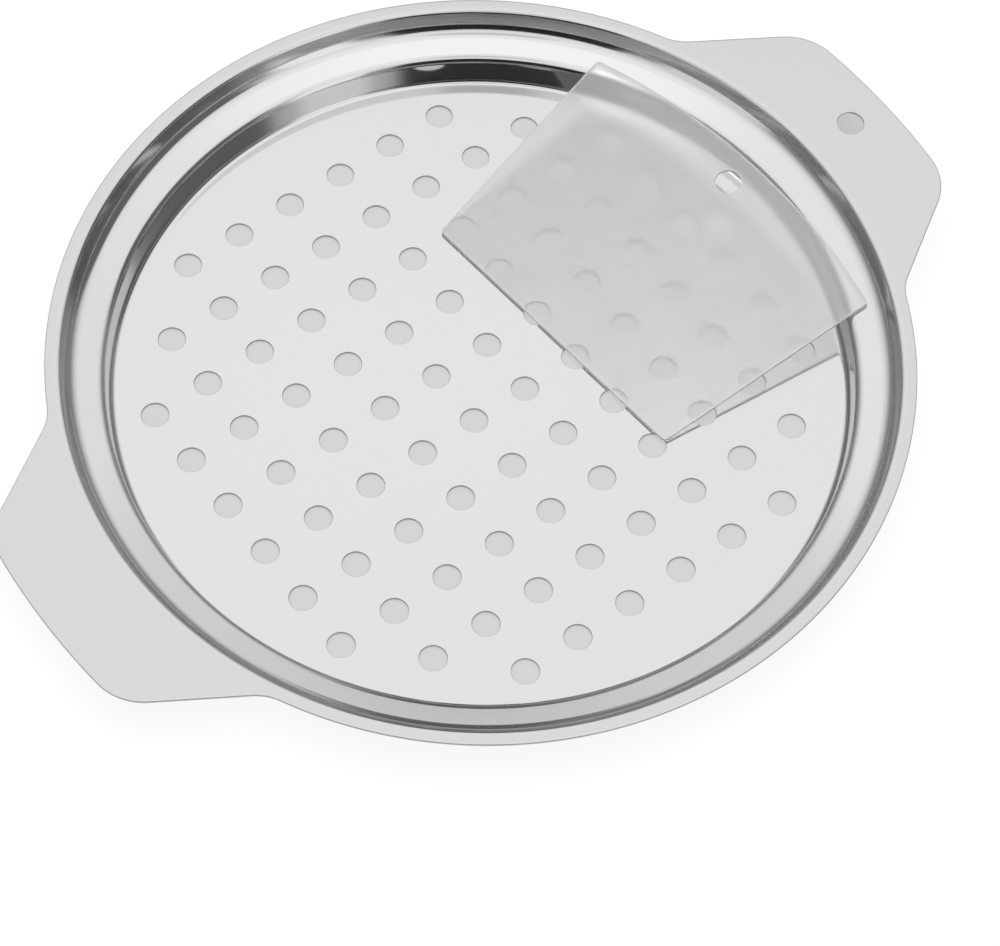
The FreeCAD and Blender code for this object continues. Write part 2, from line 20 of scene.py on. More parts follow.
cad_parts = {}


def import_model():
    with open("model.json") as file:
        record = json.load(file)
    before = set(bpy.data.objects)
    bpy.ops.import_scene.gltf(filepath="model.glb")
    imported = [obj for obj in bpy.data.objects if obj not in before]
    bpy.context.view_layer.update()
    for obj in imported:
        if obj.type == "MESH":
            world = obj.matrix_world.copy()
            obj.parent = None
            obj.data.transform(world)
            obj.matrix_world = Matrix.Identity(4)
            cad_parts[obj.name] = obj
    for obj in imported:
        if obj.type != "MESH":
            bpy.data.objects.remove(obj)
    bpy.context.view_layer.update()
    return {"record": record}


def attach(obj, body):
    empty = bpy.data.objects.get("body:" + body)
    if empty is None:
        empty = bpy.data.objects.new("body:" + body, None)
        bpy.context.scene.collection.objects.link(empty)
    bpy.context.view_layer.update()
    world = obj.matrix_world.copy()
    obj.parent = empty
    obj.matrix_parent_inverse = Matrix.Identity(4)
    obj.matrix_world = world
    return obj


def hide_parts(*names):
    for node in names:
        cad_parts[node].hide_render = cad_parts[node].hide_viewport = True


MM = 0.001
QUARTER = math.pi / 2
UP = Vector((0.0, 0.0, 1.0))

log = logging.getLogger("spaetzle_maker")


# ---------------------------------------------------------------- colours and node trees


def linear(code: str) -> tuple[float, float, float, float]:
    """Turns an sRGB hex colour into the linear colour that a shader takes.

    Args:
        code: six hex digits after a hash sign.

    Returns:
        Linear red, green and blue, and a full alpha.
    """
    channels = [int(code[start:start + 2], 16) / 255 for start in (1, 3, 5)]
    red, green, blue = (
        c / 12.92 if c <= 0.04045 else ((c + 0.055) / 1.055) ** 2.4 for c in channels
    )
    return red, green, blue, 1.0


class Graph:
    """A node tree that is written one node at a time."""

    def __init__(self, tree: bpy.types.NodeTree) -> None:
        """Empties the tree.

        Args:
            tree: the node tree to fill.
        """
        self.tree = tree
        tree.nodes.clear()

    def add(
        self, kind: str, settings: dict | None = None, inputs: dict | None = None
    ) -> bpy.types.Node:
        """Adds a node with its settings and links.

        Args:
            kind: the node's type name.
            settings: the node's own properties, by name.
            inputs: what goes into its sockets, by name or index: a socket is linked, a value
                is set.

        Returns:
            The new node.
        """
        node = self.tree.nodes.new(kind)
        for name, value in (settings or {}).items():
            setattr(node, name, value)
        for key, value in (inputs or {}).items():
            if isinstance(value, bpy.types.NodeSocket):
                self.tree.links.new(value, node.inputs[key])
            else:
                node.inputs[key].default_value = value
        return node


def new_material(name: str) -> tuple[bpy.types.Material, Graph]:
    """Makes an empty node material.

    Args:
        name: the material's name.

    Returns:
        The material and the graph that writes its tree.
    """
    material = bpy.data.materials.new(name)
    material.use_nodes = True
    return material, Graph(material.node_tree)


# ---------------------------------------------------------------- finishes


@dataclass(frozen=True)
class RolledSteel:
    """Austenitic stainless sheet, cold rolled, deep drawn and lightly polished.

    The eye gets a crisp mirror image under a thin haze: the polished lands between the rolling
    grain reflect sharply, the grain itself scatters. The sheet also waves by a few hundredths of a
    millimetre, which bends long reflections a little. The flange and the wings, held still by the
    blank holder while the dish was drawn, stay a shade duller.
    """

    name: str = "rolled_stainless_steel"
    tone: str = "#DCDCDC"
    grain_tone: str = "#D2D2D2"
    held_tone: str = "#D3D3D3"
    held_from: float = 14.5 * MM
    held_full: float = 17.0 * MM
    land_roughness: float = 0.09
    grain_roughness: float = 0.30
    grain_share: float = 0.30
    grain_spread: float = 0.6
    grain_blur: float = 0.06
    grain_width: float = 0.03 * MM
    grain_stretch: float = 5.0
    wave_length: float = 52 * MM
    wave_height: float = 0.050 * MM

    def make(self) -> bpy.types.Material:
        """Writes the shader.

        Returns:
            The finished material.
        """
        material, graph = new_material(self.name)
        place = graph.add("ShaderNodeTexCoord")
        lie = graph.add("ShaderNodeMapping", None, {
            "Vector": place.outputs["Object"],
            "Scale": (1 / self.grain_stretch, 1.0, 1.0),
        })
        grain = graph.add("ShaderNodeTexNoise", None, {
            "Vector": lie.outputs["Vector"], "Scale": 1 / self.grain_width,
            "Detail": 2.0, "Roughness": 0.6,
        })
        limit = 0.5 + (0.5 - self.grain_share) * self.grain_spread
        share = graph.add("ShaderNodeMapRange", {"interpolation_type": "SMOOTHSTEP"}, {
            "Value": grain.outputs["Fac"],
            "From Min": limit - self.grain_blur, "From Max": limit + self.grain_blur,
        })
        rough = graph.add("ShaderNodeMapRange", None, {
            "Value": share.outputs["Result"],
            "To Min": self.land_roughness, "To Max": self.grain_roughness,
        })
        tone = graph.add("ShaderNodeMix", {"data_type": "RGBA"}, {
            "Factor": share.outputs["Result"], "A": linear(self.tone), "B": linear(self.grain_tone),
        })
        parts = graph.add("ShaderNodeSeparateXYZ", None, {0: place.outputs["Object"]})
        held = graph.add("ShaderNodeMapRange", {"interpolation_type": "SMOOTHSTEP"}, {
            "Value": parts.outputs["Z"], "From Min": self.held_from, "From Max": self.held_full,
        })
        tone = graph.add("ShaderNodeMix", {"data_type": "RGBA"}, {
            "Factor": held.outputs["Result"],
            "A": tone.outputs["Result"], "B": linear(self.held_tone),
        })
        wave = graph.add("ShaderNodeTexNoise", None, {
            "Vector": place.outputs["Object"], "Scale": 1 / self.wave_length, "Detail": 1.0,
        })
        swell = graph.add("ShaderNodeBump", None, {
            "Height": wave.outputs["Fac"], "Distance": self.wave_height, "Strength": 1.0,
        })
        shader = graph.add("ShaderNodeBsdfPrincipled", None, {
            "Base Color": tone.outputs["Result"], "Metallic": 1.0,
            "Roughness": rough.outputs["Result"], "Normal": swell.outputs["Normal"],
        })
        graph.add("ShaderNodeOutputMaterial", None, {"Surface": shader.outputs["BSDF"]})
        return material


@dataclass(frozen=True)
class ShearedSteel:
    """The same sheet where a punch or a trimming die went through it.

    The eye gets a duller, slightly darker band, burnished in places and torn and matt in others.
    The tears are drawn coarser than they are, so that they show.
    """

    name: str = "sheared_stainless_edge"
    tone: str = "#C4C4C4"
    torn_tone: str = "#A9A9A9"
    roughness: float = 0.34
    torn_roughness: float = 0.55
    tear_width: float = 0.35 * MM

    def make(self) -> bpy.types.Material:
        """Writes the shader.

        Returns:
            The finished material.
        """
        material, graph = new_material(self.name)
        place = graph.add("ShaderNodeTexCoord")
        tear = graph.add("ShaderNodeTexNoise", None, {
            "Vector": place.outputs["Object"], "Scale": 1 / self.tear_width, "Detail": 3.0,
        })
        tone = graph.add("ShaderNodeMix", {"data_type": "RGBA"}, {
            "Factor": tear.outputs["Fac"], "A": linear(self.tone), "B": linear(self.torn_tone),
        })
        rough = graph.add("ShaderNodeMapRange", None, {
            "Value": tear.outputs["Fac"], "To Min": self.roughness, "To Max": self.torn_roughness,
        })
        shader = graph.add("ShaderNodeBsdfPrincipled", None, {
            "Base Color": tone.outputs["Result"], "Metallic": 1.0,
            "Roughness": rough.outputs["Result"],
        })
        graph.add("ShaderNodeOutputMaterial", None, {"Surface": shader.outputs["BSDF"]})
        return material


@dataclass(frozen=True)
class FrostedPolypropylene:
    """Natural polypropylene sheet, 1 mm thick, with a fine matt grain on both faces.

    The eye gets a milky grey veil: what touches the sheet shows through it, what lies deeper blurs.
    The same sheet is whiter, and lets less through, where a knife cut it. The matt grain is drawn
    a few times coarser than it is, so that it shows.
    """

    name: str = "frosted_polypropylene"
    tone: str = "#ECECEC"
    cloud_tone: str = "#E8E8E8"
    cloud_width: float = 14 * MM
    matt_width: float = 0.25 * MM
    matt_height: float = 0.004 * MM
    roughness: float = 0.32
    transmission: float = 0.86
    ior: float = 1.49

    def make(self) -> bpy.types.Material:
        """Writes the shader.

        Returns:
            The finished material.
        """
        material, graph = new_material(self.name)
        place = graph.add("ShaderNodeTexCoord")
        cloud = graph.add("ShaderNodeTexNoise", None, {
            "Vector": place.outputs["Object"], "Scale": 1 / self.cloud_width, "Detail": 2.0,
        })
        tone = graph.add("ShaderNodeMix", {"data_type": "RGBA"}, {
            "Factor": cloud.outputs["Fac"], "A": linear(self.tone), "B": linear(self.cloud_tone),
        })
        matt = graph.add("ShaderNodeTexNoise", None, {
            "Vector": place.outputs["Object"], "Scale": 1 / self.matt_width, "Detail": 2.0,
        })
        relief = graph.add("ShaderNodeBump", None, {
            "Height": matt.outputs["Fac"], "Distance": self.matt_height, "Strength": 1.0,
        })
        shader = graph.add("ShaderNodeBsdfPrincipled", None, {
            "Base Color": tone.outputs["Result"], "Roughness": self.roughness, "IOR": self.ior,
            "Transmission Weight": self.transmission, "Normal": relief.outputs["Normal"],
        })
        graph.add("ShaderNodeOutputMaterial", None, {"Surface": shader.outputs["BSDF"]})
        return material


# ---------------------------------------------------------------- lines with normals


@dataclass(frozen=True)
class Station:
    """A point of a flat line and the direction square to the line there, both in its plane."""

    point: Vector
    normal: Vector

    def moved(self, inwards: float) -> Vector:
        """The point that lies so far behind the line, against its normal."""
        return self.point - self.normal * inwards


class Turn(Enum):
    """Which way a bend goes, seen along the line."""

    LEFT = 1
    RIGHT = -1


def turned(vector: Vector, angle: float) -> Vector:
    """Turns a flat vector counter-clockwise by an angle in radians."""
    cosine, sine = math.cos(angle), math.sin(angle)
    return Vector((vector.x * cosine - vector.y * sine, vector.x * sine + vector.y * cosine))


def arc(
    centre: Vector, radius: float, first: float, last: float, steps: int, hollow: bool = False
) -> list[Station]:
    """Stations along an arc.

    Args:
        centre: the arc's centre.
        radius: its radius.
        first: the angle where it starts, in radians.
        last: the angle where it ends.
        steps: how many chords it has.
        hollow: whether the material lies outside the arc, so that the normals point at the centre.

    Returns:
        The stations from first to last, both ends included.
    """
    stations = []
    for step in range(steps + 1):
        angle = first + (last - first) * step / steps
        outwards = Vector((math.cos(angle), math.sin(angle)))
        stations.append(Station(centre + outwards * radius, -outwards if hollow else outwards))
    return stations


def bent_line(corners: list[tuple[Vector, float]], chord_angle: float) -> list[Station]:
    """A line through corners that are rounded to a bend radius, with normals on its left side.

    Args:
        corners: each corner and its bend radius; the first and the last are plain ends.
        chord_angle: the largest turn that one chord of a bend makes, in radians.

    Returns:
        The stations from one end to the other.
    """
    points = [corner for corner, _ in corners]
    directions = [(after - before).normalized() for before, after in zip(points, points[1:])]
    stations = [Station(points[0], turned(directions[0], QUARTER))]
    for index in range(1, len(corners) - 1):
        corner, radius = corners[index]
        into, out_of = directions[index - 1], directions[index]
        angle = math.atan2(into.cross(out_of), into.dot(out_of))
        side = Turn.LEFT if angle > 0 else Turn.RIGHT
        normal = turned(into, QUARTER)
        centre = corner - into * radius * math.tan(abs(angle) / 2) + normal * radius * side.value
        steps = max(2, math.ceil(abs(angle) / chord_angle))
        for step in range(steps + 1):
            here = turned(normal, angle * step / steps)
            stations.append(Station(centre - here * radius * side.value, here))
    stations.append(Station(points[-1], turned(directions[-1], QUARTER)))
    return stations


# ---------------------------------------------------------------- meshes


class Shell:
    """A closed mesh that is built ring by ring."""

    def __init__(self) -> None:
        """Starts with no faces."""
        self.mesh = bmesh.new()

    def ring(self, points: list[Vector]) -> list[bmesh.types.BMVert]:
        """Adds the corners of one closed ring."""
        return [self.mesh.verts.new(point) for point in points]

    def skin(self, rings: list[list[bmesh.types.BMVert]], slot: int = 0) -> None:
        """Joins neighbouring rings of equal length with four-sided faces.

        Args:
            rings: the rings in order.
            slot: the material slot of the new faces.
        """
        for one, other in zip(rings, rings[1:]):
            count = len(one)
            for index in range(count):
                after = (index + 1) % count
                face = self.mesh.faces.new((one[index], one[after], other[after], other[index]))
                face.material_index = slot

    def cap(self, ring: list[bmesh.types.BMVert]) -> None:
        """Closes a flat ring with one face."""
        self.mesh.faces.new(ring)

    def fill(self, *rings: list[bmesh.types.BMVert]) -> None:
        """Fills the flat space between an outer ring and the rings inside it.

        Args:
            rings: the outer ring, then the inner ones; each already has faces on its other side.
        """
        edges = [
            self.mesh.edges.get((ring[index - 1], ring[index]))
            for ring in rings for index in range(len(ring))
        ]
        bmesh.ops.triangle_fill(self.mesh, use_beauty=True, edges=edges, normal=UP)

    def finish(self, name: str, materials: list[bpy.types.Material]) -> bpy.types.Object:
        """Turns the shell into an object with outward faces.

        Args:
            name: the object's name.
            materials: its material slots.

        Returns:
            The linked object.
        """
        bmesh.ops.recalc_face_normals(self.mesh, faces=self.mesh.faces)
        data = bpy.data.meshes.new(name)
        self.mesh.to_mesh(data)
        self.mesh.free()
        for material in materials:
            data.materials.append(material)
        piece = bpy.data.objects.new(name, data)
        bpy.context.scene.collection.objects.link(piece)
        return piece


@dataclass(frozen=True)
class SheetEdge:
    """How the edge of a sheet is broken all round: a small round on both faces."""

    gauge: float
    rounding: float
    border: float = 0.3 * MM
    steps: int = 4

    def levels(self) -> list[tuple[float, float]]:
        """How far in from the edge, and how high, each ring lies, from the upper to the lower face.

        The first and the last ring lie a border further in on the flat faces, so that the bend's
        shading ends there.

        Returns:
            The distance from the edge and the height of each ring.
        """
        upper = []
        for step in range(self.steps + 1):
            angle = QUARTER * step / self.steps
            upper.append((self.rounding * (1 - math.sin(angle)),
                          self.gauge - self.rounding * (1 - math.cos(angle))))
        lower = [(inwards, self.gauge - height) for inwards, height in reversed(upper)]
        far_in = self.rounding + self.border
        return [(far_in, self.gauge), *upper, *lower, (far_in, 0.0)]


def smooth_bends(data: bpy.types.Mesh, crease: float = math.radians(25)) -> None:
    """Shades a mesh smooth except at its creases.

    Args:
        data: the mesh.
        crease: the angle between two faces from which their edge stays sharp.
    """
    data.shade_smooth()
    data.set_sharp_from_angle(angle=crease)


# ---------------------------------------------------------------- the sieve plate


@dataclass
class SievePlate:
    """The plate: one blank of sheet drawn in two steps, trimmed with two wings and punched."""

    steel: bpy.types.Material
    sheared: bpy.types.Material
    gauge: float = 0.8 * MM
    lower_wall_radius: float = 106.6 * MM
    lower_wall_lean: float = math.radians(9.5)
    rim_wall_radius: float = 120.1 * MM
    upper_wall_lean: float = math.radians(20.0)
    ledge_rise: float = 9.6 * MM
    ledge_fall: float = math.radians(7.2)
    rim_rise: float = 17.0 * MM
    lower_foot_radius: float = 1.6 * MM
    ledge_shoulder_radius: float = 2.8 * MM
    upper_foot_radius: float = 4.6 * MM
    rim_shoulder_radius: float = 1.3 * MM
    lead_in_end: float = 121.3 * MM
    lead_in_tilt: float = math.radians(7.0)
    lead_in_blend: float = 6.0 * MM
    flat_start: float = 122.3 * MM
    flange_radius: float = 124.4 * MM
    wing_reach: float = 149.0 * MM
    wing_width: float = 92.0 * MM
    wing_lean: float = math.radians(31.8)
    wing_tip_radius: float = 220.0 * MM
    wing_corner_radius: float = 17.5 * MM
    wing_root_radius: float = 15.0 * MM
    hole_diameter: float = 8.0 * MM
    hole_pitch: float = 18.299 * MM
    long_row: int = 10
    hang_hole_place: float = 136.2 * MM
    edge_rounding: float = 0.22 * MM
    hole_edge_break: float = 0.10 * MM
    hole_sides: int = 64
    round_steps: int = 360
    tip_steps: int = 12
    corner_steps: int = 14
    root_steps: int = 10
    edge_steps: int = 70
    chord_angle: float = math.radians(7.5)
    floor_border: float = 0.5 * MM

    @property
    def rim_top(self) -> float:
        """Height of the flange's upper face."""
        return self.gauge + self.rim_rise

    def section(self) -> list[Station]:
        """The upper face's half section from just inside the floor's bend to the flat flange.

        The lower wall's radius is the one just above its foot, the upper wall's the one where its
        line meets the flange, and the ledge's rise the one beside its shoulder, so that the corners
        between the straight lines follow from the bends' reach.

        Returns:
            The stations from the floor outwards.
        """
        lower_up, upper_up = QUARTER - self.lower_wall_lean, QUARTER - self.upper_wall_lean
        foot_reach = bend_reach(self.lower_foot_radius, lower_up)
        shoulder_reach = bend_reach(self.ledge_shoulder_radius, lower_up - self.ledge_fall)
        floor_radius = self.lower_wall_radius - foot_reach * math.cos(lower_up)
        floor_corner = Vector((floor_radius, self.gauge))
        floor_edge = floor_corner - Vector((foot_reach + self.floor_border, 0.0))
        climb = self.ledge_rise - shoulder_reach * math.sin(self.ledge_fall)
        ledge_corner = floor_corner + Vector((climb / math.tan(lower_up), climb))
        rim_end = Vector((self.rim_wall_radius, self.rim_top))
        wall_corner = crossing(ledge_corner, self.ledge_fall, rim_end, upper_up)
        lead_in_corner = Vector((self.lead_in_end, self.rim_top))
        rim_corner = crossing(rim_end, upper_up, lead_in_corner, self.lead_in_tilt)
        corners = [
            (floor_edge, 0.0),
            (floor_corner, self.lower_foot_radius),
            (ledge_corner, self.ledge_shoulder_radius),
            (wall_corner, self.upper_foot_radius),
            (rim_corner, self.rim_shoulder_radius),
            (lead_in_corner, self.lead_in_blend),
            (Vector((self.flat_start, self.rim_top)), 0.0),
        ]
        return bent_line(corners, self.chord_angle)

    def quarter_outline(self) -> list[Station]:
        """The trimmed edge from the middle of a wing's tip to the middle of the round edge.

        Returns:
            The stations, both ends included.
        """
        edge, reach = self.flange_radius, self.wing_reach
        middle = Vector((0.0, 0.0))
        along = Vector((math.cos(self.wing_lean), -math.sin(self.wing_lean)))
        outwards = turned(along, QUARTER)
        level = Vector((edge, self.wing_width / 2))
        tip_centre = Vector((reach - self.wing_tip_radius, 0.0))
        corner_centre = last_point_at(
            level - outwards * self.wing_corner_radius, along,
            tip_centre, self.wing_tip_radius - self.wing_corner_radius,
        )
        root_centre = last_point_at(
            level + outwards * self.wing_root_radius, along,
            middle, edge + self.wing_root_radius,
        )
        tip_turn = angle_of(corner_centre - tip_centre)
        side_turn = angle_of(outwards)
        root_turn = angle_of(root_centre)
        tip = arc(tip_centre, self.wing_tip_radius, 0.0, tip_turn, self.tip_steps)
        corner = arc(
            corner_centre, self.wing_corner_radius, tip_turn, side_turn, self.corner_steps
        )
        root = arc(
            root_centre, self.wing_root_radius, side_turn - math.pi, root_turn - math.pi,
            self.root_steps, hollow=True,
        )
        edge_round = arc(middle, edge, root_turn, QUARTER, self.edge_steps)
        return tip + corner[1:] + root + edge_round[1:]

    def outline(self) -> list[Station]:
        """The whole trimmed edge, counter-clockwise from the tip of the holed wing.

        Returns:
            The stations, each once.
        """
        first = self.quarter_outline()
        second = [mirrored(station, -1, 1) for station in reversed(first[:-1])]
        third = [mirrored(station, -1, -1) for station in first[1:]]
        fourth = [mirrored(station, 1, -1) for station in reversed(first[1:-1])]
        return first + second + third + fourth

    def blank(self) -> bpy.types.Object:
        """Draws and trims the plate, before its holes are punched.

        Returns:
            The plate, with its faces in slot 0 and its trimmed edge in slot 1.
        """
        shell = Shell()
        spokes = [
            Vector((math.cos(angle), math.sin(angle)))
            for angle in (2 * math.pi * step / self.round_steps for step in range(self.round_steps))
        ]

        def turn_ring(profile_point: Vector) -> list[bmesh.types.BMVert]:
            """The ring that one point of the section draws round the plate's axis."""
            return shell.ring([(*(spoke * profile_point.x), profile_point.y) for spoke in spokes])

        section = self.section()
        upper = [turn_ring(station.point) for station in section]
        under = [turn_ring(station.moved(self.gauge)) for station in section]
        shell.skin(upper)
        shell.skin(under)
        shell.cap(upper[0])
        shell.cap(under[0])

        outline = self.outline()
        edge = SheetEdge(self.gauge, self.edge_rounding)
        base = self.rim_top - self.gauge
        rings = [
            shell.ring([(*station.moved(inwards), base + height) for station in outline])
            for inwards, height in edge.levels()
        ]
        shell.skin(rings[:2])
        shell.skin(rings[1:-1], slot=1)
        shell.skin(rings[-2:])
        shell.fill(rings[0], upper[-1])
        shell.fill(rings[-1], under[-1])
        return shell.finish("pressed_sieve_plate", [self.steel, self.sheared])

    def punching(self) -> bpy.types.NodeTree:
        """Writes the tree that punches the field of dough holes and the hanging hole.

        Returns:
            The tree, with its sizes and both materials as named inputs.
        """
        tree = bpy.data.node_groups.new("punched_holes", "GeometryNodeTree")
        graph = Graph(tree)
        tree.interface.new_socket("Geometry", in_out="INPUT", socket_type="NodeSocketGeometry")
        sizes = {
            "Pitch": self.hole_pitch, "Hole Diameter": self.hole_diameter,
            "Edge Break": self.hole_edge_break, "Gauge": self.gauge,
            "Hang Hole Place": self.hang_hole_place, "Flange Height": self.rim_rise,
        }
        for name, value in sizes.items():
            socket = tree.interface.new_socket(name, in_out="INPUT", socket_type="NodeSocketFloat")
            socket.default_value = value
        for name in ("Sheet", "Sheared Edge"):
            tree.interface.new_socket(name, in_out="INPUT", socket_type="NodeSocketMaterial")
        tree.interface.new_socket("Geometry", in_out="OUTPUT", socket_type="NodeSocketGeometry")
        given = graph.add("NodeGroupInput").outputs

        place = graph.add("ShaderNodeSeparateXYZ", None, {
            0: graph.add("GeometryNodeInputPosition").outputs[0],
        })
        outermost = self.long_row / 2 - 1
        known = {name: given[name] for name in sizes}
        known |= {"x": place.outputs["X"], "y": place.outputs["Y"]}
        # The last two rows on each side are shorter: by one hole at each end, then by two.
        formulas = (
            ("radius", "MULTIPLY", "Hole Diameter", 0.5),
            ("half gauge", "MULTIPLY", "Gauge", 0.5),
            ("field side", "MULTIPLY", "Pitch", self.long_row - 1.0),
            ("x distance", "ABSOLUTE", "x", 0.0),
            ("y distance", "ABSOLUTE", "y", 0.0),
            ("across", "DIVIDE", "x distance", "Pitch"),
            ("down", "DIVIDE", "y distance", "Pitch"),
            ("last across", "GREATER_THAN", "across", outermost),
            ("late across", "GREATER_THAN", "across", outermost - 1),
            ("last down", "GREATER_THAN", "down", outermost),
            ("late down", "GREATER_THAN", "down", outermost - 1),
            ("end corner", "MULTIPLY", "last across", "late down"),
            ("side corner", "MULTIPLY", "late across", "last down"),
            ("bare", "MAXIMUM", "end corner", "side corner"),
            ("shaft length", "MULTIPLY", "Gauge", 4.0),
            ("break reach", "MULTIPLY", "Edge Break", 2.0),
            ("cone size", "ADD", "radius", "break reach"),
            ("break foot", "SUBTRACT", "half gauge", "Edge Break"),
            ("upper base", "SUBTRACT", "break foot", "radius"),
            ("lower apex", "MULTIPLY", "upper base", -1.0),
            ("lower base", "SUBTRACT", "lower apex", "cone size"),
        )
        for name, operation, first, second in formulas:
            known[name] = graph.add("ShaderNodeMath", {"operation": operation}, {
                0: known.get(first, first), 1: known.get(second, second),
            }).outputs[0]

        grid = graph.add("GeometryNodeMeshGrid", None, {
            "Size X": known["field side"], "Size Y": known["field side"],
            "Vertices X": self.long_row, "Vertices Y": self.long_row,
        })
        field = graph.add("GeometryNodeDeleteGeometry", {"domain": "POINT"}, {
            "Geometry": grid.outputs["Mesh"], "Selection": known["bare"],
        })
        field_spots = graph.add("GeometryNodeMeshToPoints", None, {"Mesh": field.outputs[0]})
        hang_place = graph.add("ShaderNodeCombineXYZ", None, {
            "X": given["Hang Hole Place"], "Z": given["Flange Height"],
        })
        hang_spot = graph.add("GeometryNodePoints", None, {
            "Count": 1, "Position": hang_place.outputs[0],
        })
        spots = graph.add("GeometryNodeJoinGeometry")
        for part in (field_spots, hang_spot):
            tree.links.new(part.outputs[0], spots.inputs[0])
        lift = graph.add("ShaderNodeCombineXYZ", None, {"Z": known["half gauge"]})
        raised = graph.add("GeometryNodeSetPosition", None, {
            "Geometry": spots.outputs[0], "Offset": lift.outputs[0],
        })

        # A shaft for the hole, and above and below it a cone that breaks the edge.
        size = known["cone size"]
        shaft = graph.add("GeometryNodeMeshCylinder", None, {
            "Vertices": self.hole_sides, "Radius": known["radius"], "Depth": known["shaft length"],
        })
        upper_cone, lower_cone = (
            graph.add("GeometryNodeMeshCone", None, {
                "Vertices": self.hole_sides, "Radius Top": top, "Radius Bottom": bottom,
                "Depth": size,
            })
            for top, bottom in ((size, 0.0), (0.0, size))
        )
        cut = graph.add(
            "GeometryNodeMeshBoolean", {"operation": "DIFFERENCE", "solver": "MANIFOLD"},
            {"Mesh 1": given["Geometry"]},
        )
        bases = (shaft, None), (upper_cone, "upper base"), (lower_cone, "lower base")
        for mesh, base in bases:
            tool = mesh.outputs["Mesh"]
            if base is not None:
                seat = graph.add("ShaderNodeCombineXYZ", None, {"Z": known[base]})
                tool = graph.add("GeometryNodeTransform", None, {
                    "Geometry": tool, "Translation": seat.outputs[0],
                }).outputs[0]
            named = graph.add("GeometryNodeSetMaterial", None, {
                "Geometry": tool, "Material": given["Sheared Edge"],
            })
            each = graph.add("GeometryNodeInstanceOnPoints", None, {
                "Points": raised.outputs[0], "Instance": named.outputs[0],
            })
            whole = graph.add("GeometryNodeRealizeInstances", None, {0: each.outputs[0]})
            tree.links.new(whole.outputs[0], cut.inputs["Mesh 2"])
        plain = graph.add("GeometryNodeRealizeInstances", None, {0: cut.outputs[0]})
        is_cut = graph.add("GeometryNodeMaterialSelection", None, {
            "Material": given["Sheared Edge"],
        })
        rest = graph.add("FunctionNodeBooleanMath", {"operation": "NOT"}, {0: is_cut.outputs[0]})
        dressed = graph.add("GeometryNodeSetMaterial", None, {
            "Geometry": plain.outputs[0], "Selection": rest.outputs[0], "Material": given["Sheet"],
        })
        graph.add("NodeGroupOutput", None, {0: dressed.outputs[0]})
        return tree

    def build(self) -> bpy.types.Object:
        """Makes the plate, punches it and puts it in its node's place.

        Returns:
            The finished piece.
        """
        plate = self.blank()
        punch = plate.modifiers.new("punched_holes", "NODES")
        punch.node_group = self.punching()
        materials = {"Sheet": self.steel, "Sheared Edge": self.sheared}
        for item in punch.node_group.interface.items_tree:
            if item.item_type == "SOCKET" and item.in_out == "INPUT" and item.name in materials:
                punch[item.identifier] = materials[item.name]
        punched = plate.evaluated_get(bpy.context.evaluated_depsgraph_get())
        plain = bpy.data.meshes.new_from_object(punched)
        plate.modifiers.remove(punch)
        plate.data = plain
        smooth_bends(plain)
        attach(plate, "plate")
        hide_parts("sieve_plate")
        return plate


def angle_of(vector: Vector) -> float:
    """The angle of a flat vector from the +X axis, in radians."""
    return math.atan2(vector.y, vector.x)


def bend_reach(radius: float, turn: float) -> float:
    """How far a bend of that radius and turn reaches along each leg from their corner."""
    return radius * math.tan(turn / 2)


def crossing(start: Vector, heading: float, other: Vector, other_heading: float) -> Vector:
    """Where two flat lines cross.

    Args:
        start: a point of the first line.
        heading: the first line's angle from the +X axis, in radians.
        other: a point of the second line.
        other_heading: the second line's angle.

    Returns:
        The point that both lines share.
    """
    ahead = Vector((math.cos(heading), math.sin(heading)))
    across = Vector((math.cos(other_heading), math.sin(other_heading)))
    return start + ahead * ((other - start).cross(across) / ahead.cross(across))


def mirrored(station: Station, sign_x: int, sign_y: int) -> Station:
    """A station mirrored in the wing axis, the cross axis or both."""
    flip = Vector((sign_x, sign_y))
    return Station(station.point * flip, station.normal * flip)


def last_point_at(start: Vector, direction: Vector, centre: Vector, distance: float) -> Vector:
    """The last point along a line that lies at a distance from a centre.

    Args:
        start: a point of the line.
        direction: the line's unit direction.
        centre: the centre.
        distance: the distance from it.

    Returns:
        The further of the two points.
    """
    offset = start - centre
    middle = offset.dot(direction)
    reach = math.sqrt(middle ** 2 - offset.dot(offset) + distance ** 2)
    return start + direction * (reach - middle)


# ---------------------------------------------------------------- the scraper


